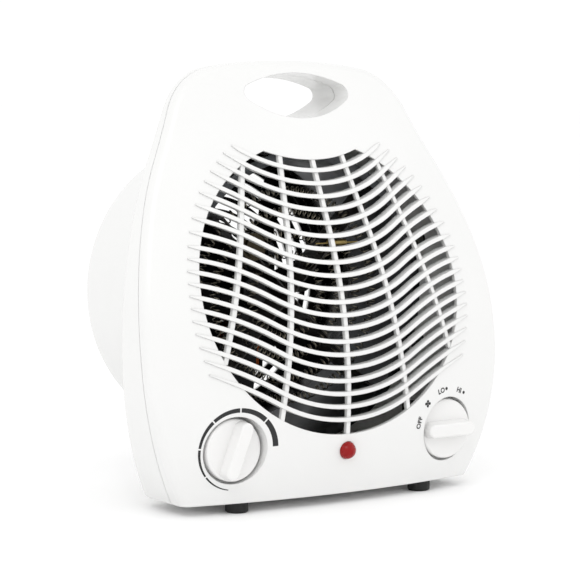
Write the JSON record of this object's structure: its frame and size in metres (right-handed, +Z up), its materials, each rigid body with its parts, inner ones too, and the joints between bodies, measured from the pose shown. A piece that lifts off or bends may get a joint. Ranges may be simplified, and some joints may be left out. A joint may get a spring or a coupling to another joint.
{
  "type": "fan convector heater",
  "caption": "Upright portable fan heater with a slatted front grille, round rear fan housing, carry handle, thermostat knob, mode knob and indicator lens.",
  "frame": {"origin": "on the floor, under the middle of the whole object's box", "axes": "+Z up, the grille faces -Y, +X to the right seen from the front"},
  "size_m": [0.2402, 0.1544, 0.25],
  "materials": {
    "white_casing": "moulded white ABS, glossy",
    "white_knob": "moulded white ABS, glossy",
    "black_rubber": "matt black rubber",
    "zinc_steel": "zinc plated steel",
    "spindle_plastic": "nylon",
    "switch_body": "moulded phenolic",
    "red_lens": "red polycarbonate, polished",
    "lamp_glass": "clear glass",
    "black_plastic": "black nylon",
    "galvanised_sheet": "galvanised sheet steel",
    "mica": "mica board",
    "resistance_wire": "bright nickel chrome wire",
    "cutout_metal": "plated brass",
    "fuse_metal": "plated brass",
    "impeller_metal": "pressed aluminium",
    "shaft_steel": "ground steel",
    "laminated_steel": "stacked silicon steel",
    "copper_wire": "enamelled copper wire",
    "bronze": "sintered bronze",
    "terminal_nylon": "natural nylon"
  },
  "bodies": {
    "housing": {"front_casing": "white_casing", "rear_casing": "white_casing", "foot_front_left": "black_rubber", "foot_front_right": "black_rubber", "foot_rear_left": "black_rubber", "foot_rear_right": "black_rubber", "cord_grommet": "black_rubber", "case_screws": "zinc_steel", "duct_screws": "zinc_steel", "strap_screws": "zinc_steel", "motor_screws": "zinc_steel", "motor_nuts": "zinc_steel", "motor_strap": "zinc_steel", "front_bearing_bridge": "zinc_steel", "rear_bearing_bridge": "zinc_steel", "thermostat_switch": "switch_body", "mode_switch": "switch_body", "indicator_lens": "red_lens", "indicator_lamp": "lamp_glass", "lamp_holder": "black_plastic", "winding_bobbin": "black_plastic", "air_duct": "galvanised_sheet", "mica_board_rising": "mica", "mica_board_falling": "mica", "low_heat_winding": "resistance_wire", "high_heat_winding": "resistance_wire", "thermal_cutout": "cutout_metal", "thermal_fuse": "fuse_metal", "stator_stack": "laminated_steel", "motor_winding": "copper_wire", "front_bush": "bronze", "rear_bush": "bronze", "terminal_block": "terminal_nylon"},
    "fan": {"fan_impeller": "impeller_metal", "motor_shaft": "shaft_steel", "motor_rotor": "shaft_steel"},
    "thermostat": {"thermostat_knob": "white_knob", "thermostat_spindle": "spindle_plastic"},
    "mode": {"mode_knob": "white_knob", "mode_spindle": "spindle_plastic"}
  },
  "joints": [
    {"name": "fan_spin", "type": "hinge", "parent": "housing", "child": "fan", "pos_m": [0, 0.02725, 0.114], "axis": [0, 1, 0], "continuous": true},
    {"name": "thermostat_turn", "type": "hinge", "parent": "housing", "child": "thermostat", "pos_m": [-0.071, -0.065, 0.0364], "axis": [0, 1, 0], "range_deg": [-187, 68]},
    {"name": "mode_turn", "type": "hinge", "parent": "housing", "child": "mode", "pos_m": [0.075, -0.065, 0.0364], "axis": [0, 1, 0], "range_deg": [0, 108]}
  ]
}
